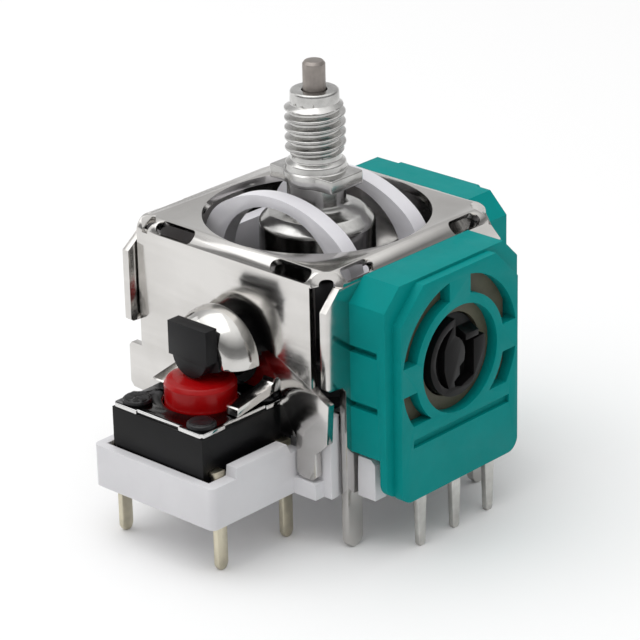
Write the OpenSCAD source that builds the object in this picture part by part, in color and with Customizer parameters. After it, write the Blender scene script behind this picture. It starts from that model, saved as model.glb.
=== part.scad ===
/* [Frame] */
// Thickness of the pressed steel sheet
sheet_t = 0.4; // [0.3:0.05:0.45]
// Height of the frame's top face above the board
plate_top = 11.57; // [11.4:0.01:11.8]
// Radius of the round opening that the stick comes through
opening_r = 5.6; // [5.55:0.01:5.7]
// Radius of the bend between the top face and the walls
bend_r = 0.7; // [0.6:0.05:0.8]
// Width of each of the frame's soldering legs
leg_w = 1.02; // [0.8:0.02:1.1]
// Height of all pin and leg tips (below the board)
tip_z = -2.7; // [-3.2:0.1:-2.2]

/* [Stick] */
// Radius over the stud's thread
stud_r = 1.5; // [1.4:0.05:1.5]
// Height of the stud's top
stud_top = 17.85; // [17.6:0.05:18.4]
// Radius of the pin in the middle of the stud
core_r = 0.56; // [0.5:0.01:0.58]
// Height of the middle pin's top
core_top = 19.27; // [18.8:0.01:20]
// Height of the flange's top face
flange_top = 13.85; // [13.7:0.05:14]
// Radius of the round cap under the flange
cap_r = 2.85; // [2.6:0.05:2.9]

/* [Yokes] */
// Height of both yoke axles above the board
axle_z = 6.4; // [6.3:0.05:6.5]
// Outer radius of the upper yoke's two arches
arch_r = 6.65; // [6.55:0.05:6.7]
// Half of the slot between the arches
slot_y = 2.0; // [1.8:0.1:2.1]
// Width of each arch
arch_w = 0.9; // [0.7:0.1:0.9]

/* [Potentiometers] */
// Half width of a potentiometer case
pot_w = 4.8; // [4.6:0.1:4.9]
// Top of a potentiometer case
pot_top = 11.05; // [10.9:0.05:11.1]
// Distance between neighbouring pins
pin_pitch = 2.5; // [2.4:0.1:2.6]
// Radius of the rotor seen in the face
rotor_r = 2.0; // [1.9:0.05:2]

/* [Switch] */
// Side of the square push switch
sw_w = 6.0; // [5.9:0.1:6]
// Sideways offset of the switch from the stick's axis
sw_x = -0.1; // [-0.15:0.05:0]
// Distance from the stick's axis to the switch's middle
sw_y = 8.25; // [8.15:0.05:8.3]
// Top of the switch's cover plate
sw_top = 4.42; // [4.3:0.02:4.5]
// Radius of the push button
button_r = 1.75; // [1.6:0.05:1.8]
// Top of the push button
button_top = 5.72; // [5.6:0.02:5.74]

/* [Hidden] */
$fn = 64;
e = 0.01;
// outer faces of the four walls, from the stick's axis
xl = 6.75; xr = 6.4; yf = 6.2; yb = 6.4;
wall_z = plate_top - bend_r;
flange_t = 0.68;
pot_x0 = 6.4; pot_x1 = 8.6; pot_x2 = 9.1;
nickel = [0.80, 0.78, 0.76]; white = [0.84, 0.83, 0.86]; teal = [0.0, 0.50, 0.47];
black = [0.06, 0.06, 0.065]; tin = [0.70, 0.69, 0.66];

// ---------- helpers ----------
// a cylinder along X from x0 to x1 about the axle height
module rod_x(r, x0, x1, y = 0, z = axle_z) { translate([x0, y, z]) rotate([0, 90, 0]) cylinder(r = r, h = x1 - x0); }
// a cylinder along Y from y0 to y1
module rod_y(r, y0, y1, x = 0, z = axle_z) { translate([x, y1, z]) rotate([90, 0, 0]) cylinder(r = r, h = y1 - y0); }
module box(a, b) { translate(a) cube(b - a); }
// a flat outline drawn in Y,Z and thickened along X from x0 to x1
module slab_x(x0, x1) { translate([x0, 0, 0]) rotate([90, 0, 90]) linear_extrude(x1 - x0) children(); }
// a flat outline drawn in X,Z and thickened along Y from y0 to y1
module slab_y(y0, y1) { translate([0, y1, 0]) rotate([90, 0, 0]) linear_extrude(y1 - y0) children(); }
// a quarter of a bent sheet, running along X, turned towards -Y
module bend(len) {
  intersection() {
    difference() {
      rotate([0, 90, 0]) cylinder(r = bend_r, h = len);
      translate([-e, 0, 0]) rotate([0, 90, 0]) cylinder(r = bend_r - sheet_t, h = len + 2 * e);
    }
    translate([0, -bend_r - e, 0]) cube([len, bend_r + e, bend_r + e]);
  }
}
// a slot with round ends, cut through a bend at 45 degrees
module bend_slot(len) rotate([45, 0, 0]) {
  translate([0, -0.39, -0.9]) cube([len, 0.78, 2.4]);
  for (x = [0, len]) translate([x, 0, -0.9]) cylinder(r = 0.39, h = 2.4);
}
// one leg's outline, with a rounded tip
module leg_outline(u0, u1, z1) {
  r = (u1 - u0) / 2;
  translate([u0, tip_z + r * 0.8]) square([u1 - u0, z1 - tip_z - r * 0.8]);
  intersection() {
    translate([(u0 + u1) / 2, tip_z + r]) circle(r = r);
    translate([u0, tip_z]) square([u1 - u0, r]);
  }
}

// ---------- pressed steel frame ----------
module front_outline() {
  difference() {
    polygon([[-6.22, wall_z], [5.2, wall_z], [5.2, 5.75], [5.5, 5.5], [6.25, 5.12], [6.12, 3.1], [5.35, 2.35],
      [5.35, 1.15], [5.15, 0.95], [4.35, 0.95], [4.14, 1.2], [4.14, 2.95], [3.14, 2.95], [3.14, 4.95],
      [2.08, 4.95], [2.08, 3.4], [-2.08, 3.4], [-2.08, 4.95], [-3.14, 4.95], [-3.14, 2.95], [-4.14, 2.95], [-4.14, 1.2],
      [-4.35, 0.95], [-5.15, 0.95], [-5.35, 1.15], [-5.35, 2.3], [-6.9, 2.4], [-7.1, 2.65], [-7.1, 4.6], [-6.95, 4.78], [-6.22, 4.78]]);
    translate([0, axle_z]) circle(r = 1.75);
    translate([-2.08, 3]) square([4.16, 1.8]);
    // reliefs beside the two fingers
    for (s = [-1, 1]) { translate([s * 3.03, 4.6]) { translate([-0.17, 0]) square([0.34, 0.95]); translate([0, 0.95]) circle(r = 0.17); } }
  }
}
module side_outline(ear, foot) {
  difference() {
    union() {
      polygon([[-5.45, wall_z], [-5.6, wall_z - 0.17], [-ear, wall_z - 0.97], [-ear, foot], [-ear + 0.15, foot - 0.12], [-5.35, foot - 0.2], [-5.12, foot - 0.45],
        [-5.12, 2.2], [5.12, 2.2], [5.12, foot - 0.45], [5.35, foot - 0.2], [6.2, foot], [6.2, wall_z - 1.0], [5.5, wall_z - 0.1], [5.3, wall_z]]);
      leg_outline(-5.12, -5.12 + leg_w, 2.4);
      leg_outline(5.12 - leg_w, 5.12, 2.4);
    }
    translate([-2.2, 0]) square([4.4, 3.2]);
  }
}
module top_frame() color(nickel) {
  difference() {
    union() {
      difference() {
        union() {
          translate([0, 0, plate_top - sheet_t]) linear_extrude(sheet_t)
            polygon([[-xl + bend_r, -yf + bend_r], [xr - bend_r, -yf + bend_r], [xr - bend_r, yb - bend_r], [-xl + bend_r, yb - bend_r]]);
          translate([-6.22, -yf + bend_r, wall_z]) bend(6.22 + xr - bend_r);
          translate([-5.3, yb - bend_r, wall_z]) mirror([0, 1, 0]) bend(10.6);
          translate([xr - bend_r, -yf + bend_r, wall_z]) rotate([0, 0, 90]) bend(5.3 + yf - bend_r);
          translate([-xl + bend_r, 5.3, wall_z]) rotate([0, 0, -90]) bend(10.6);
        }
        translate([0, 0, plate_top - 1]) cylinder(r = opening_r, h = 2, $fn = 128);
        // punched eyelet in the near corner, its edge square to the sheet
        translate([xr - bend_r - 0.10, -yf + bend_r, wall_z - 0.10]) rotate([0, 67, -45]) cylinder(r1 = 0.02, r2 = 2.1, h = 0.95);
        // reliefs in the other corners
        translate([5.78, 5.78, 10.5]) cylinder(r = 0.72, h = 3);
        translate([-6.1, 5.78, 10.5]) cylinder(r = 0.72, h = 3);
        translate([-6.05, -5.5, 10.2]) rotate([0, 0, 45]) box([-0.35, -0.9, 0], [0.35, -0.2, 2]);
        // slots across the bends, near the corners
        for (x = [-5.0, 2.6]) translate([x + 0.39, -5.86, 11.22]) bend_slot(1.72);
        for (y = [-5.0, 2.7]) translate([6.06, y + 0.39, 11.22]) rotate([0, 0, 90]) bend_slot(1.32);
        for (y = [4.9, -2.7]) translate([-6.41, y - 0.39, 11.22]) rotate([0, 0, -90]) bend_slot(1.42);
        for (x = [4.9, -2.7]) translate([x - 0.39, 6.06, 11.22]) rotate([0, 0, 180]) bend_slot(1.42);
      }
      slab_y(-yf, -yf + sheet_t) front_outline();
      slab_y(yb - sheet_t, yb) difference() {
        polygon([[-5.3, wall_z], [5.3, wall_z], [5.9, wall_z - 0.9], [5.9, 2.2], [-5.9, 2.2], [-5.9, wall_z - 0.9]]);
        translate([-2.2, 0]) square([4.4, 3.2]);
      }
      slab_x(xr - sheet_t, xr) side_outline(6.38, 6.05);
      slab_x(-xl, -xl + sheet_t) side_outline(6.7, 6.3);
      // two fingers turned out over the switch
      for (s = [-1, 1]) slab_x(s > 0 ? 2.1 : -2.86, s > 0 ? 2.86 : -2.1)
        polygon([[-yf + sheet_t, 4.95], [-yf + sheet_t, 5.6], [-yf, 5.6], [-6.32, 5.42], [-6.55, 5.3], [-8.72, 4.92], [-8.8, 4.86], [-8.8, 4.5], [-8.7, 4.5], [-6.6, 4.86], [-6.3, 4.95]]);
    }
    // bearing holes for the yokes
    rod_x(1.56, 5, 7);
    rod_x(1.26, -8, -5);
    rod_y(1.56, 5, 7);
  }
}

// ---------- white moulded base ----------
module base() color(white) {
  difference() {
    union() {
      // floor under the frame
      linear_extrude(1.2) polygon([[-6.2, -5.7], [5.9, -5.7], [5.9, 5.9], [-6.2, 5.9]]);
      // tray for the switch
      linear_extrude(2.15) difference() {
        union() {
          translate([-4.0, -11.8 + 0.35]) square([8.0, 6.3]);
          translate([-3.65, -11.8]) square([7.3, 1]);
          for (s = [-1, 1]) translate([s * 3.65, -11.45]) circle(r = 0.35);
        }
        translate([-4.2, -5.75]) square([8.4, 1]);
      }
      // raised rim on the tray's two sides
      for (s = [-1, 1]) slab_x(s > 0 ? 3.3 : -4.0, s > 0 ? 4.0 : -3.5) polygon([[-10.2, 2.1], [-10.12, 2.68], [-6.72, 2.68], [-6.45, 2.1]]);
      // spring boss
      cylinder(r = 1.7, h = 2.6);
      translate([0, 0, 1]) difference() { cylinder(r = 4.6, h = 0.75); cylinder(r = 4.2, h = 1); }
      // corner posts inside the frame
      for (p = [[5.2, -5.7], [5.2, 5.2], [-6.1, 5.2], [-6.1, -5.7]]) box([p[0], p[1], 1], [p[0] + 0.7, p[1] + 0.7, 4.2]);
      // stand-offs beside the legs, one under each end of the potentiometers
      for (s = [-1, 1]) {
        slab_y(s * 4.1 - 0.4, s * 4.1 + 0.4) polygon([[5.85, 0], [7.6, 0], [7.6, 1.85], [7.35, 2.1], [6.55, 2.1], [6.5, 1.1], [5.85, 1.1]]);
        slab_x(s * 4.1 - 0.4, s * 4.1 + 0.4) polygon([[5.85, 0], [7.6, 0], [7.6, 1.85], [7.35, 2.1], [6.55, 2.1], [6.5, 1.1], [5.85, 1.1]]);
      }
      // wings under the front wall's two lower corners
      for (s = [-1, 1]) box([s > 0 ? 3.9 : -5.4, -6.3, 0], [s > 0 ? 5.4 : -3.9, -5.6, 0.85]);
    }
    // pocket for the switch
    box([sw_x - 3.42, -11.32, 0.9], [sw_x + 3.42, -5.12, 6]);
    // the frame's legs pass the floor's edges
    for (y = [-5.22, 4.0]) { box([5.8, y, -1], [6.5, y + 1.22, 5]); box([-6.8, y, -1], [-6.1, y + 1.22, 1.2 + e]); }
    // holes for the switch's terminals
    for (x = [-3.24, 3.24], y = [-2.25, 2.25]) translate([sw_x + x - 0.26, -sw_y + y - 0.42, -1]) cube([0.52, 0.84, 3]);
  }
}

// ---------- stick ----------
module stick() color(nickel) {
  difference() {
    union() {
      // eye round the pivot pin, neck, cap, shank
      rod_x(1.3, -1.35, 1.35);
      translate([0, 0, axle_z]) cylinder(r = 1.1, h = 4.2);
      translate([0, 0, axle_z]) rotate_extrude($fn = 96) difference() {
        polygon([[0, 2], [cap_r, 2], [cap_r, 4.55], [cap_r - 0.09, 4.85], [cap_r - 0.27, 5.05], [cap_r - 0.6, 5.22], [1.9, 5.36], [1.44, 5.55], [0, 5.55]]);
        circle(r = 3.85);
      }
      translate([0, 0, 10.4]) cylinder(r = 1.44, h = flange_top - flange_t - 10.4 + e);
      // flange: a bar with ears and a round middle
      translate([0, 0, flange_top - flange_t]) linear_extrude(flange_t) {
        square([4.14, 2.3], center = true);
        circle(r = 1.5);
      }
      // collar, undercut, stud over the thread, plain neck
      translate([0, 0, flange_top - e]) cylinder(r = 1.3, h = 0.42 + e);
      translate([0, 0, flange_top]) cylinder(r = 1.25, h = 1);
      translate([0, 0, flange_top + 0.6]) cylinder(r = stud_r, h = 17.3 - flange_top - 0.6);
      translate([0, 0, 17]) cylinder(r = 1.2, h = stud_top - 17);
    }
    // bore for the middle pin
    translate([0, 0, 12.3]) cylinder(r = 0.64, h = 8);
    translate([0, 0, stud_top - 0.12]) cylinder(r1 = 0.64, r2 = 0.78, h = 0.121);
    rod_x(0.55, -3, 3);
  }
}
module centre_pin() color([0.50, 0.46, 0.43]) {
  translate([0, 0, 12.4]) cylinder(r = core_r, h = core_top - 12.4 - 0.16);
  translate([0, 0, core_top - 0.16]) cylinder(r1 = core_r, r2 = core_r - 0.12, h = 0.16);
}
module pivot_pin() color([0.62, 0.62, 0.62]) rod_x(0.5, -2.5, 2.5);

// ---------- yokes ----------
// the arch from the side: round over the top, upright at the legs
leg_x = 4.9; turn_a = 33.8;
turn_r = (leg_x - arch_r * sin(turn_a)) / (1 - sin(turn_a));
turn_c = [leg_x - turn_r, axle_z + (arch_r - turn_r) * cos(turn_a)];
half_arch = concat(
  [for (i = [0:10]) let (a = turn_a * i / 10) [arch_r * sin(a), axle_z + arch_r * cos(a)]],
  [for (i = [1:9]) let (a = turn_a + (90 - turn_a) * i / 9) turn_c + turn_r * [sin(a), cos(a)]],
  [[leg_x, 8.3], [3.7, 8.3]],
  [for (i = [0:12]) let (a = 90 * i / 12) [3.7 * cos(a), 9.3 + (axle_z + arch_r - 0.55 - 9.3) * sin(a)]]);
module arch_outline() {
  polygon(half_arch);
  mirror([1, 0]) polygon(half_arch);
}
module upper_yoke() color([0.86, 0.85, 0.90]) {
  // two arches over the lower yoke, thicker towards their legs
  for (s = [-1, 1]) slab_y(s > 0 ? slot_y : -slot_y - arch_w, s > 0 ? slot_y + arch_w : -slot_y) arch_outline();
  // the two cheeks that join the arches and carry the axle
  for (s = [-1, 1]) slab_x(s > 0 ? 4.2 : -4.9, s > 0 ? 4.9 : -4.2) {
    polygon([[-2.9, 9.9], [-2.5, 10.2], [2.5, 10.2], [2.9, 9.9], [2.9, 8.3], [1.9, axle_z], [-1.9, axle_z], [-2.9, 8.3]]);
    translate([0, axle_z]) circle(r = 2.1);
  }
  // axle stub on the open side, journal and blade on the potentiometer's side
  rod_x(1.2, -6.9, -4.85);
  rod_x(1.5, 4.85, 6.5);
  box([6.45, -0.45, axle_z - 1.3], [8.1, 0.45, axle_z + 1.3]);
}
module lower_yoke() color(black) {
  difference() {
    union() {
      intersection() {
        translate([0, 0, axle_z]) sphere(r = 3.7, $fn = 96);
        union() {
          rod_y(2.3, -3.3, 3.3);
          box([-2.6, -3.3, axle_z], [2.6, 3.3, 12]);
        }
      }
      // journal towards the rear potentiometer, with a round blade that the yoke rocks on when pressed
      rod_y(1.5, 3.2, 6.5);
      rod_x(1.3, -0.45, 0.45, 6.85);
      // arm through the front wall, its underside cut back over the button for the tilt
      difference() {
        rod_y(1.35, -8.45, -3.2);
        slab_y(-9, -6.35) translate([0, axle_z]) polygon([[-2, -3], [2, -3], [2, 0.06], [0, -0.6], [-2, 0.06]]);
      }
      // collar in the hood, and the paddle on the arm's end
      intersection() {
        rod_y(2.06, -7.3, -6.95);
        box([-3, -8, axle_z - 0.03], [3, -6, 10]);
      }
      rod_y(1.12, -9.05, -8.38, 0, 6.94);
      box([-1.26, -9.15, 6.76], [1.26, -8.4, 8.47]);
    }
    // slot for the stick, and the hole for the pivot pin
    box([-1.45, -2.45, 3], [1.45, 2.45, 12]);
    rod_x(0.5, -3, 3);
  }
}
module axle_hood() color(nickel) {
  // half a bell over the arm, narrowing to the paddle
  intersection() {
    translate([0, -6.8, axle_z]) rotate([90, 0, 0]) rotate_extrude($fn = 96) polygon(concat(
      [[2.15, 0], [2.45, 0]],
      [for (i = [0:8]) let (a = 72 * i / 8) [1.25 + 1.2 * cos(a), 0.2 + 1.45 * sin(a)]],
      [[1.37, 1.579], [1.37, 1.32]],
      [for (i = [8:-1:0]) let (a = 72 * i / 8) [1.25 + 0.9 * cos(a), 0.2 + 1.15 * sin(a)]]));
    box([-3, -9, axle_z - 0.05], [3, -6.5, 10]);
  }
}

// ---------- centring parts ----------
module spring_seat() color([0.10, 0.10, 0.11]) {
  translate([0, 0, 3.35]) difference() {
    union() { cylinder(r = 4.9, h = 0.5); translate([0, 0, -0.5]) cylinder(r = 2.5, h = 0.6); }
    translate([0, 0, -1]) cylinder(r = 1.8, h = 3);
  }
}
// the coil as a tube swept along a helix
function coil_pt(t, n, r, z0, h) = [r * cos(360 * n * t), r * sin(360 * n * t), z0 + h * t];
module tube(pts, r, k) {
  m = len(pts);
  dirs = [for (i = [0:m - 1]) let (a = pts[max(i - 1, 0)], b = pts[min(i + 1, m - 1)], d = b - a) d / norm(d)];
  ring = [for (i = [0:m - 1]) let (d = dirs[i], u0 = cross([0, 0, 1], d), u = u0 / norm(u0), v = cross(d, u))
    [for (j = [0:k - 1]) pts[i] + r * (cos(360 * j / k) * u + sin(360 * j / k) * v)]];
  polyhedron(points = [for (a = ring) for (b = a) b],
    faces = concat(
      [[for (j = [0:k - 1]) j]],
      [[for (j = [0:k - 1]) (m - 1) * k + k - 1 - j]],
      [for (i = [0:m - 2], j = [0:k - 1]) [i * k + j, (i + 1) * k + j, (i + 1) * k + (j + 1) % k, i * k + (j + 1) % k]]), convexity = 6);
}
module return_spring() color([0.75, 0.75, 0.76])
  tube([for (i = [0:72]) coil_pt(i / 72, 3, 3.5, 1.45, 1.62)], 0.2, 8);

// ---------- potentiometers: drawn on the +X side, turned for the other ----------
module pot_outline(w, top, cut, bottom) {
  polygon([[-w, top - cut], [-w + cut, top], [w - cut, top], [w, top - cut], [w, bottom], [-w, bottom]]);
}
module rounded_skirt(w, z0, z1, r) {
  translate([-w, z0 + r]) square([2 * w, z1 - z0 - r]);
  translate([-w + r, z0]) square([2 * (w - r), z1 - z0]);
  for (s = [-1, 1]) translate([s * (w - r), z0 + r]) circle(r = r);
}
module window_ring() { difference() { circle(r = 4.15); circle(r = 3.2); } }
module pot_case() color(teal) {
  difference() {
    union() {
      slab_x(pot_x0, pot_x1) pot_outline(pot_w, pot_top, 1.05, 2.4);
      slab_x(8.2, pot_x1) rounded_skirt(pot_w, 0.45, 2.6, 0.75);
      slab_x(8.5, pot_x2) {
        polygon([[-4.25, 9.25], [-2.6, 10.9], [2.6, 10.9], [4.25, 9.25], [4.25, 2], [-4.25, 2]]);
        rounded_skirt(4.25, 0.1, 2.6, 0.7);
      }
      // bevel from the top down to the raised face
      intersection() {
        slab_x(8.5, 8.95) polygon([[-3.0, 11.0], [3.0, 11.0], [3.0, 10.5], [-3.0, 10.5]]);
        translate([8.6, 0, 11.05]) rotate([0, 45, 0]) box([-2, -5, -2], [0.0, 5, 0.0]);
      }
    }
    // inside, open towards the frame
    slab_x(pot_x0 - 1, 7.9) polygon([[-4.0, 2.95], [-4.0, 9.6], [-3.4, 10.2], [3.4, 10.2], [4.0, 9.6], [4.0, 2.95]]);
    // seat of the wafer, open at the bottom
    slab_x(7.8, 8.5) polygon([[-3.95, -1], [-3.95, 9.6], [-3.4, 10.15], [3.4, 10.15], [3.95, 9.6], [3.95, -1]]);
    // pockets for the pins
    for (y = [-pin_pitch, 0, pin_pitch]) box([8.4, y - 0.62, -1], [8.84, y + 0.62, 2.75]);
    // four windows between the cross of ribs, and the round opening
    slab_x(8, 10) translate([0, axle_z - 0.05]) {
      intersection() {
        window_ring();
        translate([-5, -2.4]) square([10, 8]);
        union() { for (s = [-1, 1]) { translate([s > 0 ? 0.75 : -5.75, 0.72]) square([5, 6]); translate([s > 0 ? 0.75 : -5.75, -5.72]) square([5, 5]); } }
      }
      circle(r = 2.7);
    }
    // groove above the lower block
    slab_x(8.88, 10) translate([-3.4, 2.82]) square([7.0, 0.42]);
    // slots in the two sides
    for (s = [-1, 1], z = [7.55, 4.72]) box([pot_x0 - 1, s > 0 ? pot_w - 0.35 : -pot_w - 1, z], [8.08, s > 0 ? pot_w + 1 : -pot_w + 0.35, z + 0.34]);
  }
}
module pot_wafer() color([0.36, 0.35, 0.28]) {
  difference() {
    slab_x(7.92, 8.48) polygon([[-3.85, 0.5], [-3.85, 9.5], [-3.3, 10.05], [3.3, 10.05], [3.85, 9.5], [3.85, 0.5]]);
    rod_x(2.08, 7, 9);
    for (y = [-pin_pitch, 0, pin_pitch]) rod_x(0.25, 7, 9, y, 2.0);
  }
}
module pot_terminals() color(tin) {
  for (y = [-pin_pitch, 0, pin_pitch]) {
    slab_x(8.5, 8.8) translate([y, 0]) {
      polygon([[-0.52, 0.35], [-0.52, 2.6], [0.52, 2.6], [0.52, 0.35], [0.34, 0.15], [0.33, 0.0], [0.22, tip_z + 0.15], [0.14, tip_z], [-0.14, tip_z], [-0.22, tip_z + 0.15], [-0.33, 0.0], [-0.34, 0.15]]);
    }
    rod_x(0.24, 7.75, 8.6, y, 2.0);
  }
}
module pot_rotor() color(black) {
  difference() {
    union() {
      rod_x(3.15, 6.6, 7.25);
      rod_x(rotor_r, 7.2, 8.96);
    }
    // slot for the yoke's blade
    box([6.4, -0.47, axle_z - 1.38], [8.2, 0.47, axle_z + 1.38]);
    // deep pocket between the round-backed blade and the outer blade, open at the top
    slab_x(8.35, 9.3) translate([0, axle_z]) polygon([[-0.2, 1.12], [0.1, 0.92], [0.3, 0.68], [0.46, 0.36], [0.50, 0.05], [0.44, -0.34], [0.10, -0.56], [0.10, -0.98],
      [-0.3, -1.22], [-0.25, -1.5], [0.2, -1.62], [1.14, -1.3], [1.14, 0.5], [2.5, 0.62], [2.5, 2.5], [-0.2, 2.5]]);
    // shallow pocket between the blade and the rim
    slab_x(8.5, 9.3) translate([0, axle_z]) polygon(concat([for (a = [102:13:245]) 1.64 * [cos(a), sin(a)]],
      [[-0.78, -1.2], [-1.0, -0.5], [-0.98, 0.55], [-0.74, 1.06]]));
  }
  // the stop beside the top, with a sloping upper face
  slab_y(0.58, 1.52) polygon([[8.3, axle_z + 0.62], [8.94, axle_z + 0.62], [8.94, axle_z + 0.92], [8.3, axle_z + 1.2]]);
}
module pot_wiper() color([0.82, 0.66, 0.38]) {
  union() {
    slab_x(7.25, 7.4) difference() { translate([0, axle_z]) circle(r = 3.05); translate([0, axle_z]) circle(r = 2.04); translate([-4, axle_z - 4]) square([8, 4]); }
    for (s = [-1, 1]) slab_x(7.3, 7.86) translate([s * 2.65, axle_z + 0.15]) circle(r = 0.28);
  }
}
module turned() { rotate([0, 0, 90]) children(); }
module pot_x_case() pot_case();
module pot_x_wafer() pot_wafer();
module pot_x_terminals() pot_terminals();
module pot_x_rotor() pot_rotor();
module pot_x_wiper() pot_wiper();
module pot_y_case() turned() pot_case();
module pot_y_wafer() turned() pot_wafer();
module pot_y_terminals() turned() pot_terminals();
module pot_y_rotor() turned() pot_rotor();
module pot_y_wiper() turned() pot_wiper();

// ---------- push switch ----------
body_top = sw_top - 0.22;
// one corner of the cover's outline, which stands out a little
cover_corner = [[2.86, 1.4], [2.98, 1.4], [2.98, 2.84], [2.84, 2.98], [1.4, 2.98], [1.4, 2.86]];
module at_switch() { translate([sw_x, -sw_y, 0]) children(); }
module switch_body() color(black) at_switch() {
  difference() {
    union() {
      translate([0, 0, 0.92]) linear_extrude(body_top - 0.92) square(sw_w, center = true);
      for (x = [-2.15, 2.15], y = [-2.15, 2.15]) {
        translate([x, y, body_top - e]) cylinder(r = 0.44, h = 0.3);
        translate([x, y, sw_top]) cylinder(r1 = 0.72, r2 = 0.6, h = 0.24);
      }
    }
    translate([0, 0, 1.9]) cylinder(r = 2.08, h = 5);
    // pockets for the terminals
    for (s = [-1, 1], y = [-2.25, 2.25]) translate([s > 0 ? 2.5 : -3.2, y - 0.38, 2.1]) cube([0.7, 0.76, 0.36]);
  }
}
module switch_cover() color([0.30, 0.30, 0.31]) at_switch() {
  translate([0, 0, body_top]) linear_extrude(0.22) difference() {
    polygon([for (a = [0:90:270], p = cover_corner) [p[0] * cos(a) - p[1] * sin(a), p[0] * sin(a) + p[1] * cos(a)]]);
    circle(r = 1.86);
    for (x = [-2.15, 2.15], y = [-2.15, 2.15]) translate([x, y]) circle(r = 0.45);
  }
}
module switch_button() color([0.78, 0.05, 0.07]) at_switch() {
  translate([0, 0, 0]) rotate_extrude() polygon([[0, 3.05], [0.9, 3.05], [0.9, 3.6], [1.97, 3.6], [1.97, 3.95], [button_r, 3.95],
    [button_r, button_top - 0.40], [button_r - 0.05, button_top - 0.29], [button_r - 0.15, button_top - 0.19], [button_r - 0.32, button_top - 0.11], [button_r - 0.6, button_top - 0.05], [button_r - 1.05, button_top - 0.01], [0, button_top]]);
}
module switch_dome() color([0.80, 0.78, 0.70]) at_switch() {
  translate([0, 0, 2.15]) rotate_extrude() polygon([[0, 0.75], [0.7, 0.68], [1.3, 0.45], [1.9, 0.0], [1.9, 0.1], [1.32, 0.53], [0.7, 0.77], [0, 0.85]]);
}
module switch_contacts() color([0.80, 0.78, 0.72]) at_switch() {
  translate([0, 0, 1.9]) cylinder(r = 0.6, h = 0.12);
  translate([0, 0, 1.9]) difference() { cylinder(r = 2.0, h = 0.12); translate([0, 0, -1]) cylinder(r = 1.5, h = 3); }
}
module switch_terminals() color([0.78, 0.74, 0.60]) at_switch() {
  for (s = [-1, 1], y = [-2.25, 2.25]) {
    translate([s > 0 ? 2.55 : -3.38, y - 0.35, 2.13]) cube([0.83, 0.7, 0.3]);
    slab_x(s > 0 ? 3.08 : -3.38, s > 0 ? 3.38 : -3.08) translate([y, 0])
      polygon([[-0.35, 2.4], [0.35, 2.4], [0.35, tip_z + 0.3], [0.24, tip_z + 0.08], [0.08, tip_z], [-0.08, tip_z], [-0.24, tip_z + 0.08], [-0.35, tip_z + 0.3]]);
  }
}

top_frame();
base();
stick();
centre_pin();
pivot_pin();
upper_yoke();
lower_yoke();
axle_hood();
spring_seat();
return_spring();
pot_x_case();
pot_x_wafer();
pot_x_terminals();
pot_x_rotor();
pot_x_wiper();
pot_y_case();
pot_y_wafer();
pot_y_terminals();
pot_y_rotor();
pot_y_wiper();
switch_body();
switch_cover();
switch_button();
switch_dome();
switch_contacts();
switch_terminals();
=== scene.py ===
import bpy
import bmesh
import math
from mathutils import Vector, Matrix


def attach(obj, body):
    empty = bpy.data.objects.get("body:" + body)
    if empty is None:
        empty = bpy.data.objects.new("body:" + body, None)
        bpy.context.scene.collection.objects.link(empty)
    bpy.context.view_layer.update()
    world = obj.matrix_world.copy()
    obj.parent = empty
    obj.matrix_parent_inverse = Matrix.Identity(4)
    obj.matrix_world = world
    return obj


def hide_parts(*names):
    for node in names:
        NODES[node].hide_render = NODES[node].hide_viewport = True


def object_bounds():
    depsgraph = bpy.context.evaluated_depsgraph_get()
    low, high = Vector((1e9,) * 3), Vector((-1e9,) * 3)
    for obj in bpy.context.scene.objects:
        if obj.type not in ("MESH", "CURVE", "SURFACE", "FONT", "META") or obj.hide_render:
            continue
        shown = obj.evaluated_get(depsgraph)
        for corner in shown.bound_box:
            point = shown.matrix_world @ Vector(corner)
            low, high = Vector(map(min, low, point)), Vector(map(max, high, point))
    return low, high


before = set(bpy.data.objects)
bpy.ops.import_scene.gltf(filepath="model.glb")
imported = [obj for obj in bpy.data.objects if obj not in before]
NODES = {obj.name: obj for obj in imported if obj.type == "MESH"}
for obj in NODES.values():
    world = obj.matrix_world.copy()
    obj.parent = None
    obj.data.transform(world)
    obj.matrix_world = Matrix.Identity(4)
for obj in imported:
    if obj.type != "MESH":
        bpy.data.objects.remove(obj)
cad_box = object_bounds()
MM = 0.001
scene = bpy.context.scene
coll = scene.collection

# ------------------------------------------------------------------ camera
AZ, EL, ROLL = math.radians(43.207), math.radians(23.04), math.radians(-1.30)
DIST = 154.756 * MM
TARGET = Vector((0.023 * math.cos(AZ), 0.023 * math.sin(AZ), 5.816)) * MM
back = Vector((math.sin(AZ) * math.cos(EL), -math.cos(AZ) * math.cos(EL), math.sin(EL)))
right = Vector((math.cos(AZ), math.sin(AZ), 0.0))
up = back.cross(right)
cx = right * math.cos(ROLL) + up * math.sin(ROLL)
cy = -right * math.sin(ROLL) + up * math.cos(ROLL)
cam_data = bpy.data.cameras.new("camera")
cam_data.sensor_width = 36.0
cam_data.lens = 3144.7 / 640.0 * 36.0
cam_data.clip_start = 0.005
cam_data.clip_end = 20.0
cam = bpy.data.objects.new("camera", cam_data)
coll.objects.link(cam)
m = Matrix((cx, cy, back)).transposed().to_4x4()
m.translation = TARGET + back * DIST
cam.matrix_world = m
scene.camera = cam
scene.view_settings.view_transform = "Standard"


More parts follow.
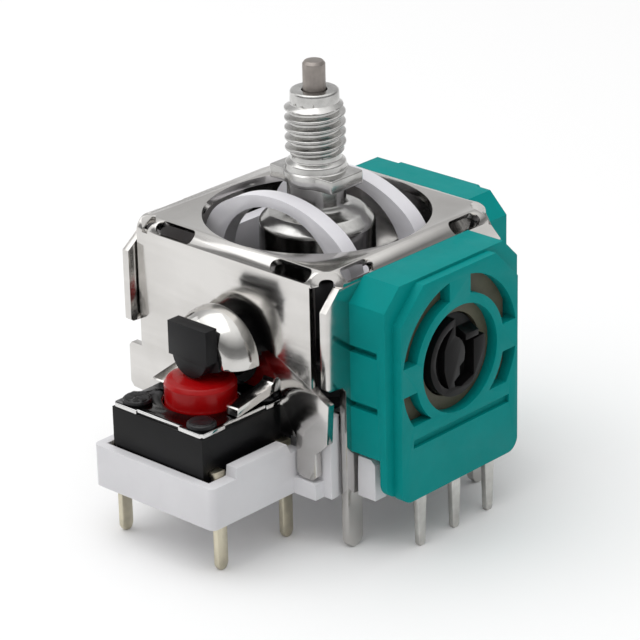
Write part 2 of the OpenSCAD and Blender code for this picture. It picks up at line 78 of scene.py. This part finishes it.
# ------------------------------------------------------------------ materials
class Mat:
    """A node material with short helpers."""

    def __init__(self, name, color, rough, metal=0.0, spec=0.5, **sockets):
        self.mat = bpy.data.materials.new(name)
        self.mat.use_nodes = True
        self.nt = self.mat.node_tree
        self.b = self.nt.nodes["Principled BSDF"]
        self.b.inputs["Base Color"].default_value = (*color, 1)
        self.b.inputs["Roughness"].default_value = rough
        self.b.inputs["Metallic"].default_value = metal
        self.b.inputs["Specular IOR Level"].default_value = spec
        for k, v in sockets.items():
            self.b.inputs[k.replace("_", " ")].default_value = v
        self.tc = self.nt.nodes.new("ShaderNodeTexCoord")
        self.last_normal = None

    def coords(self, stretch=(1, 1, 1), turn=(0, 0, 0)):
        mp = self.nt.nodes.new("ShaderNodeMapping")
        mp.inputs["Scale"].default_value = stretch
        mp.inputs["Rotation"].default_value = turn
        self.nt.links.new(self.tc.outputs["Object"], mp.inputs["Vector"])
        return mp.outputs["Vector"]

    def noise(self, scale, detail=3.0, rough=0.55, stretch=(1, 1, 1), distort=0.0):
        n = self.nt.nodes.new("ShaderNodeTexNoise")
        n.inputs["Scale"].default_value = scale
        n.inputs["Detail"].default_value = detail
        n.inputs["Roughness"].default_value = rough
        n.inputs["Distortion"].default_value = distort
        self.nt.links.new(self.coords(stretch), n.inputs["Vector"])
        return n.outputs["Fac"]

    def ramp(self, fac, stops):
        r = self.nt.nodes.new("ShaderNodeValToRGB")
        el = r.color_ramp.elements
        while len(el) < len(stops):
            el.new(0.5)
        for k, (pos, col) in enumerate(stops):
            el[k].position = pos
            el[k].color = (*col, 1) if len(col) == 3 else col
        self.nt.links.new(fac, r.inputs["Fac"])
        return r.outputs["Color"]

    def color(self, out):
        self.nt.links.new(out, self.b.inputs["Base Color"])
        return self

    def mix(self, fac, a, b, mode="MIX"):
        x = self.nt.nodes.new("ShaderNodeMix")
        x.data_type = "RGBA"
        x.blend_type = mode
        if isinstance(fac, float):
            x.inputs[0].default_value = fac
        else:
            self.nt.links.new(fac, x.inputs[0])
        for sock, val in ((x.inputs[6], a), (x.inputs[7], b)):
            if isinstance(val, tuple):
                sock.default_value = (*val, 1)
            else:
                self.nt.links.new(val, sock)
        return x.outputs[2]

    def rough(self, fac, lo, hi):
        mr = self.nt.nodes.new("ShaderNodeMapRange")
        mr.inputs["From Min"].default_value = 0.3
        mr.inputs["From Max"].default_value = 0.7
        mr.inputs["To Min"].default_value = lo
        mr.inputs["To Max"].default_value = hi
        self.nt.links.new(fac, mr.inputs["Value"])
        self.nt.links.new(mr.outputs["Result"], self.b.inputs["Roughness"])
        return self

    def bump(self, fac, strength, dist_mm):
        bp = self.nt.nodes.new("ShaderNodeBump")
        bp.inputs["Strength"].default_value = strength
        bp.inputs["Distance"].default_value = dist_mm * MM
        self.nt.links.new(fac, bp.inputs["Height"])
        if self.last_normal is not None:
            self.nt.links.new(self.last_normal, bp.inputs["Normal"])
        self.last_normal = bp.outputs["Normal"]
        self.nt.links.new(self.last_normal, self.b.inputs["Normal"])
        return self

    def pointy(self, lo=0.52, hi=0.60):
        g = self.nt.nodes.new("ShaderNodeNewGeometry")
        mr = self.nt.nodes.new("ShaderNodeMapRange")
        mr.inputs["From Min"].default_value = lo
        mr.inputs["From Max"].default_value = hi
        self.nt.links.new(g.outputs["Pointiness"], mr.inputs["Value"])
        return mr.outputs["Result"]


def metal(name, light, dark, r0, r1, big=260, lines=(2600, 2600, 140), line_bump=0.03, mottle=0.04):
    mt = Mat(name, light, (r0 + r1) / 2, metal=1.0)
    soft = mt.noise(big, 3, 0.6)
    mt.color(mt.ramp(soft, [(0.35, dark), (0.65, light)]))
    brush = mt.noise(1.0, 4, 0.6, stretch=lines)
    mt.rough(brush, r0, r1)
    mt.bump(brush, 1.0, line_bump * 0.01)
    mt.bump(mt.noise(420, 2, 0.5), 1.0, mottle * 0.05)
    return mt.mat


def sheet_metal(name, light, mid, dark, r0, r1):
    """Rolled, plated sheet: long soft streaks along the strip, and a slight waviness from pressing."""
    mt = Mat(name, light, (r0 + r1) / 2, metal=1.0)
    streak = mt.noise(1.0, 3, 0.55, stretch=(70, 70, 560), distort=0.6)
    cloud = mt.noise(190, 4, 0.6)
    both = mt.mix(0.5, streak, cloud)
    mt.color(mt.ramp(both, [(0.36, dark), (0.5, mid), (0.62, light)]))
    fine = mt.noise(1.0, 5, 0.65, stretch=(500, 500, 5200))
    mt.rough(fine, r0, r1)
    mt.bump(fine, 1.0, 0.00035)
    mt.bump(mt.noise(1.0, 2, 0.5, stretch=(110, 110, 420)), 1.0, 0.010)
    mt.bump(mt.noise(300, 3, 0.5), 1.0, 0.0035)
    return mt.mat


def plastic(name, light, dark, r0, r1, big=300, grain=5200, grain_bump=0.002, spec=0.5, **k):
    mt = Mat(name, light, (r0 + r1) / 2, spec=spec, **k)
    mt.color(mt.ramp(mt.noise(big, 4, 0.6), [(0.3, dark), (0.7, light)]))
    mt.rough(mt.noise(900, 4, 0.6), r0, r1)
    mt.bump(mt.noise(grain, 3, 0.6), 1.0, grain_bump)
    mt.bump(mt.noise(350, 2, 0.5), 1.0, grain_bump * 1.2)
    return mt.mat


M = {
    "frame": sheet_metal("frame_nickel", (0.68, 0.665, 0.645), (0.615, 0.60, 0.58), (0.53, 0.515, 0.495), 0.10, 0.20),
    "hood": metal("hood_nickel", (0.66, 0.65, 0.63), (0.54, 0.53, 0.51), 0.09, 0.16, big=500),
    "stud": metal("stud_nickel", (0.58, 0.575, 0.56), (0.42, 0.415, 0.405), 0.15, 0.26, big=900, lines=(900, 900, 5200)),
    "pin": metal("pin_steel", (0.36, 0.325, 0.30), (0.27, 0.245, 0.23), 0.38, 0.50, big=1200, lines=(5200, 5200, 700)),
    "pivot": metal("pivot_steel", (0.62, 0.62, 0.62), (0.52, 0.52, 0.52), 0.2, 0.3),
    "wire": metal("spring_wire", (0.62, 0.62, 0.63), (0.5, 0.5, 0.51), 0.2, 0.3),
    "tin": metal("tin_plate", (0.66, 0.65, 0.62), (0.50, 0.49, 0.47), 0.26, 0.40, big=800, lines=(4200, 4200, 500)),
    "tin_gold": metal("tin_yellow", (0.68, 0.63, 0.49), (0.52, 0.48, 0.38), 0.26, 0.38, big=800, lines=(4200, 4200, 500)),
    "bronze": metal("contact_bronze", (0.80, 0.54, 0.32), (0.64, 0.42, 0.24), 0.16, 0.28, big=900),
    "silver": metal("contact_silver", (0.84, 0.82, 0.76), (0.72, 0.70, 0.64), 0.16, 0.26),
    "cover": metal("cover_nickel", (0.74, 0.735, 0.73), (0.64, 0.635, 0.63), 0.08, 0.15, big=700),
    # painted reflection: a near-black copy of the cover's nickel for its flat top faces
    "cover_top": metal("cover_top_painted_reflection", (0.055, 0.055, 0.06), (0.035, 0.035, 0.038), 0.10, 0.18, big=500),
    "teal": plastic("pot_teal", (0.0, 0.268, 0.258), (0.0, 0.230, 0.222), 0.40, 0.52, grain_bump=0.0025, spec=0.07),
    "white": plastic("base_white", (0.72, 0.715, 0.735), (0.67, 0.665, 0.685), 0.42, 0.55, grain_bump=0.003, spec=0.4),
    "yoke": plastic("yoke_white", (0.78, 0.77, 0.80), (0.71, 0.70, 0.74), 0.30, 0.40, grain_bump=0.001, spec=0.5),
    "black": plastic("yoke_black", (0.005, 0.005, 0.006), (0.003, 0.003, 0.004), 0.30, 0.42, grain_bump=0.003, spec=0.22),
    "rotor": plastic("rotor_black", (0.006, 0.005, 0.006), (0.004, 0.004, 0.004), 0.26, 0.36, grain_bump=0.002, spec=0.14),
    # painted shade: a darker copy of the stud's nickel for the stick's cap, which lies in the frame's shade
    "cap": metal("cap_painted_shade", (0.20, 0.195, 0.19), (0.13, 0.128, 0.125), 0.14, 0.22, big=900),
    "seat": plastic("seat_black", (0.012, 0.012, 0.013), (0.008, 0.008, 0.009), 0.4, 0.5, spec=0.3),
    "switch": plastic("switch_black", (0.004, 0.004, 0.005), (0.003, 0.003, 0.003), 0.30, 0.42, grain_bump=0.003, spec=0.2),
    "stake": plastic("stake_black", (0.010, 0.010, 0.012), (0.004, 0.004, 0.005), 0.22, 0.50, big=1500, grain=2600, grain_bump=0.012, spec=0.4),
    "red": plastic("button_red", (0.40, 0.003, 0.004), (0.33, 0.002, 0.003), 0.20, 0.28, big=700, grain_bump=0.001, spec=0.24),
    "wafer": plastic("wafer_olive", (0.13, 0.12, 0.08), (0.085, 0.08, 0.053), 0.42, 0.55, big=900, grain=3800, grain_bump=0.003, spec=0.25),
}


# ------------------------------------------------------------------ mesh helpers
def link(name, me, mat, body, replaces=()):
    o = bpy.data.objects.new(name, me)
    coll.objects.link(o)
    me.materials.clear()
    me.materials.append(mat)
    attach(o, body)
    if replaces:
        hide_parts(*replaces)
    return o


def smooth(me, angle=32):
    me.polygons.foreach_set("use_smooth", [True] * len(me.polygons))
    me.set_sharp_from_angle(angle=math.radians(angle))
    me.update()


def apply_mods(o):
    dg = bpy.context.evaluated_depsgraph_get()
    dg.update()
    me = bpy.data.meshes.new_from_object(o.evaluated_get(dg))
    old = o.data
    o.modifiers.clear()
    o.data = me
    if old.users == 0:
        bpy.data.meshes.remove(old)
    return me


def clean(me, planar=0.6):
    """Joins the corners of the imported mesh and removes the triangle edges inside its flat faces."""
    bm = bmesh.new()
    bm.from_mesh(me)
    bmesh.ops.remove_doubles(bm, verts=bm.verts, dist=2e-7)
    bmesh.ops.dissolve_degenerate(bm, edges=bm.edges, dist=2e-7)
    bmesh.ops.dissolve_limit(bm, angle_limit=math.radians(planar), verts=bm.verts, edges=bm.edges)
    bm.to_mesh(me)
    bm.free()


def bevelled(node, mat, body, width=0.05, seg=2, angle=26, keep_angle=34):
    """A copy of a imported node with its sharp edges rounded."""
    me = NODES[node].data.copy()
    me.name = node + "_edges"
    clean(me)
    o = bpy.data.objects.new(node + "_shell", me)
    coll.objects.link(o)
    b = o.modifiers.new("edges", "BEVEL")
    b.width = width * MM
    b.segments = seg
    b.limit_method = "ANGLE"
    b.angle_limit = math.radians(angle)
    b.use_clamp_overlap = True
    b.loop_slide = True
    b.miter_outer = "MITER_ARC"
    w = o.modifiers.new("weights", "WEIGHTED_NORMAL")
    w.keep_sharp = True
    me = apply_mods(o)
    smooth(me, keep_angle)
    me.materials.clear()
    me.materials.append(mat)
    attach(o, body)
    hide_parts(node)
    return o


def fillet(points, r, k=4):
    """Rounds the inner corners of an open line of (radius, height) points."""
    out = [points[0]]
    for i in range(1, len(points) - 1):
        a, p, b = Vector(points[i - 1]), Vector(points[i][:2]), Vector(points[i + 1][:2])
        rr = points[i][2] if len(points[i]) > 2 else r
        a = Vector(points[i - 1][:2])
        u, v = (a - p), (b - p)
        if u.length < 1e-9 or v.length < 1e-9 or rr <= 0:
            out.append(tuple(p))
            continue
        cosang = max(-1, min(1, u.normalized().dot(v.normalized())))
        half = math.acos(cosang) / 2
        if half > math.radians(87):
            out.append(tuple(p))
            continue
        t = min(rr / math.tan(half), u.length * 0.48, v.length * 0.48)
        p0, p1 = p + u.normalized() * t, p + v.normalized() * t
        for s in range(k + 1):
            w = s / k
            q = p0 * (1 - w) ** 2 + p * 2 * w * (1 - w) + p1 * w * w
            out.append(tuple(q))
    out.append(points[-1][:2])
    return out


AXES = {
    "Z": lambda r, h, c, s: (r * c, r * s, h),
    "X": lambda r, h, c, s: (h, r * c, r * s),
    "Y": lambda r, h, c, s: (r * s, h, r * c),
}


def lathe(bm, profile, n=96, axis="Z", origin=(0, 0, 0), start=0.0):
    """Adds the surface of a line of (radius, height) points turned about an axis."""
    o = Vector(origin)
    put = AXES[axis]
    rings = []
    for r, h in profile:
        if r < 1e-6:
            rings.append([bm.verts.new((Vector(put(0, h, 1, 0)) + o) * MM)])
        else:
            rings.append([
                bm.verts.new((Vector(put(r, h, math.cos(start + 2 * math.pi * j / n), math.sin(start + 2 * math.pi * j / n))) + o) * MM)
                for j in range(n)
            ])
    for a, b in zip(rings, rings[1:]):
        for j in range(n):
            k = (j + 1) % n
            if len(a) == 1 and len(b) == 1:
                continue
            if len(a) == 1:
                bm.faces.new((a[0], b[k], b[j]))
            elif len(b) == 1:
                bm.faces.new((a[j], a[k], b[0]))
            else:
                bm.faces.new((a[j], a[k], b[k], b[j]))
    return rings


def finish_bm(bm, name):
    bmesh.ops.remove_doubles(bm, verts=bm.verts, dist=3e-7)
    bmesh.ops.recalc_face_normals(bm, faces=bm.faces)
    me = bpy.data.meshes.new(name)
    bm.to_mesh(me)
    bm.free()
    return me


def slab(bm, outline, z0, z1, bev=0.05, k=3):
    """A flat outline (counter-clockwise, mm) thickened from z0 to z1 with its two rims rounded."""
    n = len(outline)
    pts = [Vector(p) for p in outline]
    normals = []
    for i in range(n):
        a, b, c = pts[i - 1], pts[i], pts[(i + 1) % n]
        e0, e1 = (b - a).normalized(), (c - b).normalized()
        n0, n1 = Vector((e0.y, -e0.x)), Vector((e1.y, -e1.x))
        nn = (n0 + n1)
        nn = nn.normalized() / max(0.35, nn.normalized().dot(n0))
        normals.append(nn)
    rings = []
    for s in range(k + 1):
        a = math.pi / 2 * s / k
        rings.append((bev * (1 - math.sin(a)), z0 + bev * (1 - math.cos(a))))
    for s in range(k + 1):
        a = math.pi / 2 * (k - s) / k
        rings.append((bev * (1 - math.sin(a)), z1 - bev * (1 - math.cos(a))))
    verts = []
    for inset, z in rings:
        verts.append([bm.verts.new(((pts[i] - normals[i] * inset).to_3d() + Vector((0, 0, z))) * MM) for i in range(n)])
    for a, b in zip(verts, verts[1:]):
        for j in range(n):
            q = (j + 1) % n
            bm.faces.new((a[j], a[q], b[q], b[j]))
    bm.faces.new(list(reversed(verts[0])))
    bm.faces.new(verts[-1])


# ------------------------------------------------------------------ stick
def thread(bm, z0, z1, pitch, root, crest, r_low, r_high, n=96, m=18):
    """A right-hand thread between two plain rings."""
    turns = int((z1 - z0) / pitch) + 3
    rows = {}

    def radius(i, z):
        f = (i % m) / m
        tri = 1 - abs(2 * f - 1)
        d = max(0.0, min(1.0, (tri - 0.20) / 0.64))
        d = d * d * (3 - 2 * d) * 0.45 + d * 0.55
        r = root + (crest - root) * d
        low = r_low + max(0.0, z - z0) * 1.1
        high = r_high + max(0.0, z1 - z) * 1.15
        return max(min(r, low, high), min(root, low, high))

    def vert(i, j):
        key = (i, j)
        if key not in rows:
            z = z0 - pitch * 1.5 + pitch * (i / m + j / n)
            zc = max(z0, min(z1, z))
            r = r_low if zc == z0 else r_high if zc == z1 else radius(i, zc)
            a = 2 * math.pi * j / n
            rows[key] = bm.verts.new(Vector((r * math.cos(a), r * math.sin(a), zc)) * MM)
        return rows[key]

    for i in range(m * (turns + 1)):
        for j in range(n):
            a, b = vert(i, j), vert(i + 1, j)
            if j + 1 < n:
                c, d = vert(i + 1, j + 1), vert(i, j + 1)
            else:
                c, d = vert(i + 1 + m, 0), vert(i + m, 0)
            zs = {round(v.co.z, 9) for v in (a, b, c, d)}
            if len(zs) == 1 and (abs(a.co.z - z0 * MM) < 1e-9 or abs(a.co.z - z1 * MM) < 1e-9):
                continue
            bm.faces.new((a, d, c, b))


def build_stick():
    bm = bmesh.new()
    n = 96
    # stud: bore, neck, thread, undercut, collar
    top = 17.84
    up_part = fillet([(0.62, 15.5), (0.62, top, 0.10), (1.19, top, 0.16), (1.20, 17.25)], 0.1, 5)
    lathe(bm, [(0, 15.5)] + up_part, n)
    thread(bm, 14.62, 17.25, 0.5, 1.19, 1.485, 1.23, 1.20, n)
    low = fillet([(1.23, 14.62), (1.23, 14.38, 0.08), (1.47, 14.22, 0.10), (1.50, 13.9, 0.05), (1.60, 13.84)], 0.05, 4)
    lathe(bm, list(reversed(low)) , n)
    lathe(bm, [(0, 13.60), (1.60, 13.60), (1.60, 13.84)], n)
    # flange
    f = []
    hx, hy, r = 2.07, 1.15, 1.5

    def arc(cx_, cy_, rad, a0, a1, k=5):
        for s in range(k + 1):
            a = math.radians(a0 + (a1 - a0) * s / k)
            f.append((cx_ + rad * math.cos(a), cy_ + rad * math.sin(a)))

    x_in = math.sqrt(r * r - hy * hy)
    c = 0.16
    arc(hx - c, hy - c, c, 0, 90)
    f.append((x_in + 0.32, hy))
    f.append((x_in + 0.12, hy + 0.05))
    a0 = math.degrees(math.atan2(hy + 0.08, x_in - 0.02))
    arc(0, 0, r, a0, 180 - a0, 20)
    f.append((-x_in - 0.12, hy + 0.05))
    f.append((-x_in - 0.32, hy))
    arc(-hx + c, hy - c, c, 90, 180)
    arc(-hx + c, -hy + c, c, 180, 270)
    f.append((-x_in - 0.32, -hy))
    f.append((-x_in - 0.12, -hy - 0.05))
    arc(0, 0, r, 180 + a0, 360 - a0, 20)
    f.append((x_in + 0.12, -hy - 0.05))
    f.append((x_in + 0.32, -hy))
    arc(hx - c, -hy + c, c, 270, 360)
    slab(bm, f, 13.18, 13.86, 0.07, 4)
    # shank and cap
    def dome(rad, r_):
        return (r_, 6.4 + math.sqrt(rad * rad - r_ * r_))

    outer_ = [(0, 13.3), (1.44, 13.3, 0.02), (1.43, 11.93, 0.42), (2.35, 11.72, 0.4), (2.845, 11.25, 0.35), (2.845, 9.03, 0.07), (2.74, 9.06, 0.03)]
    inner = [dome(3.85, x / 10.0) for x in range(25, 11, -2)] + [(1.1, 10.09), (1.1, 6.6), (0, 6.6)]
    prof = fillet(outer_ + inner, 0.02, 6)
    lathe(bm, list(reversed(prof)), n)
    me = finish_bm(bm, "stick")
    smooth(me, 40)
    o = link("stick_turned", me, M["stud"], "stick", ["stick"])
    # painted shade: the cap under the frame's opening gets a darker copy of the bright shank's metal, for the shade
    # inside the frame
    o.data.materials.append(M["cap"])
    for poly in o.data.polygons:
        c_ = poly.center / MM
        if c_.z < 10.95:
            poly.material_index = 1
    return o


build_stick()


def build_pin():
    bm = bmesh.new()
    prof = [(0, 15.0)] + fillet([(0.555, 15.0), (0.56, 19.27 - 0.0, 0.14), (0.0, 19.27)], 0.12, 5)
    prof = [(0, 15.0), (0.555, 15.0)] + fillet([(0.555, 15.01), (0.555, 19.11, 0.04), (0.44, 19.255, 0.05), (0.0, 19.265)], 0.05, 4)
    lathe(bm, prof, 64)
    me = finish_bm(bm, "centre_pin")
    smooth(me, 40)
    return link("centre_pin_rod", me, M["pin"], "stick", ["centre_pin"])


build_pin()

SW = (-0.1, -8.25)


def build_button():
    bm = bmesh.new()
    r, top = 1.75, 5.72
    line = fillet([(0, 3.05), (0.9, 3.05, 0.03), (0.9, 3.6, 0.03), (1.97, 3.6, 0.04), (1.97, 3.95, 0.05), (r + 0.01, 3.97, 0.02),
                   (r, top - 0.36, 0.10), (r - 0.13, top - 0.17, 0.16), (r - 0.42, top - 0.075, 0.3), (r - 0.95, top - 0.012, 0.5), (0, top - 0.002)], 0.05, 5)
    lathe(bm, line, 112, "Z", (SW[0], SW[1], 0))
    me = finish_bm(bm, "button")
    smooth(me, 40)
    return link("button_cap", me, M["red"], "button", ["switch_button"])


build_button()


def build_stakes():
    """The melted tops of the two front studs that hold the switch's cover."""
    from mathutils import noise as mnoise
    for k, (sx, sy, rough_) in enumerate(((-2.15, -2.15, 1.0), (2.15, -2.15, 0.25), (-2.15, 2.15, 0.6), (2.15, 2.15, 0.6))):
        bm = bmesh.new()
        z0 = 4.42
        line = [(0.0, z0 + 0.16)] + fillet([(0.40, z0 + 0.16), (0.70, z0 + 0.02, 0.02), (0.715, z0 + 0.06, 0.03), (0.69, z0 + 0.17, 0.08), (0.56, z0 + 0.245, 0.06), (0.42, z0 + 0.25, 0.05)], 0.05, 4)
        line += [(0.30, z0 + 0.248), (0.20, z0 + 0.246), (0.10, z0 + 0.245), (0.0, z0 + 0.245)]
        lathe(bm, line, 56, "Z", (SW[0] + sx, SW[1] + sy, 0))
        for v in bm.verts:
            q = v.co / MM
            if q.z > z0 + 0.08:
                n1 = mnoise.noise(Vector((q.x * 3.2 + k * 7.1, q.y * 3.2, q.z * 3.2)))
                n2 = mnoise.noise(Vector((q.x * 8.5, q.y * 8.5 + k * 3.3, q.z * 8.5)))
                v.co.z += (n1 * 0.055 + n2 * 0.03) * rough_ * MM
                side = Vector((q.x - SW[0] - sx, q.y - SW[1] - sy, 0))
                v.co += side * (n1 * 0.05 + n2 * 0.03) * rough_ * MM
        me = finish_bm(bm, "stake")
        smooth(me, 60)
        link("cover_stake_%d" % (k + 1), me, M["stake"], "housing")


build_stakes()

TURN = Matrix.Rotation(math.pi / 2, 4, "Z")


def turned(src, node, body):
    """The rear potentiometer's case is the side one's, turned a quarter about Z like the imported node."""
    bm = bmesh.new()
    bm.from_mesh(src.data)
    bmesh.ops.triangulate(bm, faces=[f for f in bm.faces if len(f.verts) > 4], ngon_method="EAR_CLIP")
    me = bpy.data.meshes.new(node + "_edges")
    bmesh.ops.transform(bm, matrix=TURN, verts=bm.verts)
    bm.to_mesh(me)
    bm.free()
    old = me.attributes.get("custom_normal")
    if old is not None:
        me.attributes.remove(old)
    o = bpy.data.objects.new(node + "_shell", me)
    coll.objects.link(o)
    smooth(me, 34)
    w = o.modifiers.new("weights", "WEIGHTED_NORMAL")
    w.keep_sharp = True
    me = apply_mods(o)
    me.materials.clear()
    me.materials.append(src.data.materials[0])
    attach(o, body)
    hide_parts(node)
    return o


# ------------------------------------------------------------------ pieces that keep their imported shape, with rounded edges
bevelled("top_frame", M["frame"], "housing", width=0.05, seg=3)
bevelled("base", M["white"], "housing", width=0.09, seg=3)
bevelled("upper_yoke", M["yoke"], "yoke_x", width=0.10, seg=3)
bevelled("lower_yoke", M["black"], "yoke_y", width=0.08, seg=3)
bevelled("axle_hood", M["hood"], "yoke_y", width=0.04, seg=2)
for p in ("x", "y"):
    if p == "x":
        side_case = bevelled("pot_x_case", M["teal"], "housing", width=0.07, seg=3)
    else:
        turned(side_case, "pot_y_case", "housing")
    bevelled(f"pot_{p}_terminals", M["tin"], "housing", width=0.05, seg=2)
    bevelled(f"pot_{p}_rotor", M["rotor"], "yoke_x" if p == "x" else "rotor_y", width=0.05, seg=2)
bevelled("switch_body", M["switch"], "housing", width=0.05, seg=2)
cover = bevelled("switch_cover", M["cover"], "housing", width=0.05, seg=2)
# painted reflection: the flat top faces of the nickel cover get a near-black copy of its metal, for the dark reflection
# they show
cover.data.materials.append(M["cover_top"])
for poly in cover.data.polygons:
    if poly.normal.z > 0.985 and poly.center.z > 0.00438:
        poly.material_index = 1
bevelled("switch_terminals", M["tin_gold"], "housing", width=0.05, seg=2)

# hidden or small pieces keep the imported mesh
for node, key in (
    ("pivot_pin", "pivot"), ("spring_seat", "seat"), ("return_spring", "wire"),
    ("pot_x_wafer", "wafer"), ("pot_y_wafer", "wafer"), ("pot_x_wiper", "bronze"), ("pot_y_wiper", "bronze"),
    ("switch_dome", "silver"), ("switch_contacts", "silver"),
):
    me = NODES[node].data
    me.materials.clear()
    me.materials.append(M[key])

# ------------------------------------------------------------------ floor and light
FLOOR_Z = cad_box[0].z
bm = bmesh.new()
s = 3.0
vs = [bm.verts.new(p) for p in ((-s, -s, FLOOR_Z), (s, -s, FLOOR_Z), (s, s, FLOOR_Z), (-s, s, FLOOR_Z))]
bm.faces.new(vs)
me = bpy.data.meshes.new("floor")
bm.to_mesh(me)
bm.free()
floor = bpy.data.objects.new("floor", me)
coll.objects.link(floor)
fm = Mat("floor_white", (0.92, 0.92, 0.92), 0.75, spec=0.1)
fm.color(fm.ramp(fm.noise(3, 2), [(0.3, (0.91, 0.91, 0.91)), (0.7, (0.93, 0.93, 0.93))]))
me.materials.append(fm.mat)

world = bpy.data.worlds.new("studio")
scene.world = world
world.use_nodes = True
nt = world.node_tree
bg = nt.nodes["Background"]
tc = nt.nodes.new("ShaderNodeTexCoord")
sep = nt.nodes.new("ShaderNodeSeparateXYZ")
nt.links.new(tc.outputs["Generated"], sep.inputs["Vector"])
mr = nt.nodes.new("ShaderNodeMapRange")
mr.inputs["From Min"].default_value = -1
mr.inputs["From Max"].default_value = 1
nt.links.new(sep.outputs["Z"], mr.inputs["Value"])


def sky(stops):
    r = nt.nodes.new("ShaderNodeValToRGB")
    e = r.color_ramp.elements
    while len(e) < len(stops):
        e.new(0.5)
    for k, (pos, val) in enumerate(stops):
        e[k].position = pos
        e[k].color = (val, val, val, 1)
    nt.links.new(mr.outputs["Result"], r.inputs["Fac"])
    return r.outputs["Color"]


# a darker studio all round, a bright backdrop behind the object to the left, a soft bright ceiling
plain = sky([(0.5, 0.46), (0.56, 0.30), (0.68, 0.22), (0.80, 0.62), (0.92, 1.22), (1.0, 1.45)])
backdrop = sky([(0.5, 0.92), (0.60, 0.74), (0.70, 0.60), (0.80, 0.72), (0.92, 1.22), (1.0, 1.45)])
dot = nt.nodes.new("ShaderNodeVectorMath")
dot.operation = "DOT_PRODUCT"
dot.inputs[1].default_value = (-0.68, 0.73, 0.0)
nt.links.new(tc.outputs["Generated"], dot.inputs[0])
side = nt.nodes.new("ShaderNodeMapRange")
side.interpolation_type = "SMOOTHSTEP"
side.inputs["From Min"].default_value = 0.15
side.inputs["From Max"].default_value = 0.85
nt.links.new(dot.outputs["Value"], side.inputs["Value"])
mx = nt.nodes.new("ShaderNodeMix")
mx.data_type = "RGBA"
nt.links.new(side.outputs["Result"], mx.inputs[0])
nt.links.new(plain, mx.inputs[6])
nt.links.new(backdrop, mx.inputs[7])
nt.links.new(mx.outputs[2], bg.inputs["Color"])
bg.inputs["Strength"].default_value = 0.98


def area(name, loc, aim, size, power, color=(1, 1, 1)):
    l = bpy.data.lights.new(name, "AREA")
    l.shape = "RECTANGLE"
    l.size, l.size_y = size[0] * MM, size[1] * MM
    l.energy = power
    l.color = color
    o = bpy.data.objects.new(name, l)
    coll.objects.link(o)
    d = (Vector(aim) - Vector(loc)) * MM
    o.matrix_world = Matrix.Translation(Vector(loc) * MM) @ d.to_track_quat("-Z", "Y").to_matrix().to_4x4()
    return o


area("key_top", (-45, -70, 190), (0, 0, 5), (240, 240), 0.16)
area("soft_left", (-180, -80, 70), (0, 0, 6), (120, 120), 0.035)
